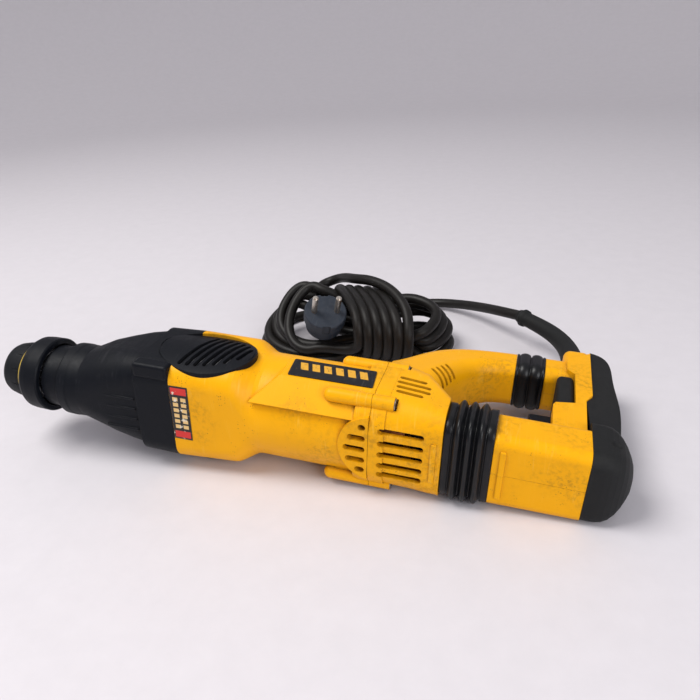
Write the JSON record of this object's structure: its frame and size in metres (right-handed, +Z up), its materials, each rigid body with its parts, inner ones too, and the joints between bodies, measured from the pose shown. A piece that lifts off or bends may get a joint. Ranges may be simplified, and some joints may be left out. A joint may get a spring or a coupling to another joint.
{
  "type": "rotary hammer",
  "caption": "corded D-handle rotary hammer lying on its side, yellow casing with black nose, sliding chuck collar, damped handle on rubber bellows, coiled lead and plug",
  "frame": {"origin": "on the floor, under the middle of the tool's own box (the lead left out)", "axes": "+Z up from the floor the tool lies on, +X towards the handle and away from the chuck, +Y towards the tool's underside"},
  "size_m": [0.4198, 0.3006, 0.084],
  "materials": {
    "yellow_plastic": "moulded yellow plastic, satin, scuffed",
    "black_plastic": "moulded black plastic, satin",
    "black_rubber": "soft matt black rubber",
    "cord_rubber": "matt black cord sheath",
    "bellows_rubber": "black rubber bellows",
    "dust_rubber": "matt black rubber",
    "ring_plastic": "yellow plastic ring",
    "label_black": "glossy black blank label",
    "steel": "machined steel",
    "blued_steel": "hardened steel",
    "spring_steel": "spring wire",
    "screw_steel": "zinc-plated steel",
    "cast_aluminium": "cast aluminium",
    "laminations": "stacked laminations",
    "copper": "copper",
    "carbon": "carbon",
    "bronze": "sintered bronze",
    "nickel_pin": "nickel-plated brass",
    "plug_plastic": "bluish black moulded rubber plastic"
  },
  "bodies": {
    "housing": {"gear_case": "cast_aluminium", "bulkhead": "cast_aluminium", "spindle_bearing": "bronze", "motor_front_bearing": "steel", "motor_rear_bearing": "steel", "layshaft_bearings": "bronze", "bearing_bracket": "black_plastic", "nose_cover": "black_plastic", "vent_plate": "black_plastic", "motor_housing": "yellow_plastic", "rear_housing": "yellow_plastic", "arm_cover": "yellow_plastic", "housing_screws": "screw_steel", "label_plate": "label_black", "field_stator": "laminations", "field_coils": "copper", "brush_holders": "bronze", "carbon_brushes": "carbon", "large_bellows": "bellows_rubber", "small_bellows": "bellows_rubber", "damper_guides": "steel", "damper_springs": "spring_steel"},
    "tool_holder": {"spindle": "blued_steel", "locking_balls": "steel", "dust_cap": "dust_rubber", "retaining_ring": "ring_plastic", "spring_seat": "steel", "collar_spring": "spring_steel", "spindle_gear": "steel"},
    "collar": {"locking_collar": "black_plastic"},
    "beat": {"beat_piece": "steel"},
    "ram": {"striker": "steel", "striker_ring": "dust_rubber"},
    "piston": {"piston": "cast_aluminium", "piston_pin": "steel"},
    "wobble": {"wobble_ring": "steel"},
    "countershaft": {"layshaft": "steel", "layshaft_gear": "steel", "wobble_hub": "steel"},
    "armature": {"armature_shaft": "steel", "armature_core": "laminations", "armature_windings": "copper", "commutator": "copper", "cooling_fan": "black_plastic"},
    "mode_selector": {"mode_knob": "black_plastic"},
    "handle": {"handle_right": "yellow_plastic", "handle_left": "yellow_plastic", "handle_screws": "screw_steel", "end_cap": "black_rubber", "rear_grip": "black_rubber", "grip_pad": "black_rubber", "switch_body": "black_plastic", "trigger_spring": "spring_steel", "handle_bushes": "bronze", "strain_relief": "black_rubber", "cord_tube": "cord_rubber", "cord_coil": "cord_rubber", "plug_body": "plug_plastic", "plug_pins": "nickel_pin"},
    "trigger": {"trigger": "black_plastic"}
  },
  "joints": [
    {"name": "armature_spin", "type": "hinge", "parent": "housing", "child": "armature", "pos_m": [0.02056, -0.03412, 0.03711], "axis": [0.9971, 0, -0.0756], "continuous": true},
    {"name": "countershaft_spin", "type": "hinge", "parent": "housing", "child": "countershaft", "pos_m": [-0.07027, -0.02526, 0.02945], "axis": [0.9971, 0, -0.0756], "continuous": true},
    {"name": "tool_holder_spin", "type": "hinge", "parent": "housing", "child": "tool_holder", "pos_m": [-0.14895, -0.04562, 0.04996], "axis": [0.9971, 0, -0.0756], "continuous": true},
    {"name": "wobble_swing", "type": "hinge", "parent": "housing", "child": "wobble", "pos_m": [-0.06928, -0.02526, 0.02937], "axis": [0.0615, 0.5804, 0.812], "range_deg": [-13.5, 13.5]},
    {"name": "piston_slide", "type": "slide", "parent": "housing", "child": "piston", "axis": [0.9971, 0, -0.0756], "range_m": [-0.00585, 0.00585]},
    {"name": "ram_slide", "type": "slide", "parent": "housing", "child": "ram", "axis": [0.9971, 0, -0.0756], "range_m": [-0.0045, 0.0015]},
    {"name": "beat_slide", "type": "slide", "parent": "housing", "child": "beat", "axis": [0.9971, 0, -0.0756], "range_m": [-0.004, 0]},
    {"name": "collar_slide", "type": "slide", "parent": "tool_holder", "child": "collar", "axis": [0.9971, 0, -0.0756], "range_m": [0, 0.007], "stiffness_N_per_m": 900, "springref_m": -0.004, "deforming": ["collar_spring"]},
    {"name": "mode_turn", "type": "hinge", "parent": "housing", "child": "mode_selector", "pos_m": [-0.06158, -0.03962, 0.00523], "axis": [0.0756, 0, 0.9971], "range_deg": [-80, 80]},
    {"name": "handle_slide", "type": "slide", "parent": "housing", "child": "handle", "axis": [0.9971, 0, -0.0756], "range_m": [-0.004, 0], "stiffness_N_per_m": 9000, "springref_m": 0.003, "deforming": ["large_bellows", "small_bellows", "damper_springs"]},
    {"name": "trigger_travel", "type": "slide", "parent": "handle", "child": "trigger", "axis": [0.9971, 0, -0.0756], "range_m": [0, 0.006], "stiffness_N_per_m": 700, "springref_m": -0.003, "deforming": ["trigger_spring"]}
  ],
  "couplings": [
    {"joint": "countershaft_spin", "follows": "armature_spin", "ratio": -0.30769},
    {"joint": "tool_holder_spin", "follows": "armature_spin", "ratio": 0.17308},
    {"joint": "wobble_swing", "follows": "piston_slide", "rad_per_m": 40}
  ]
}
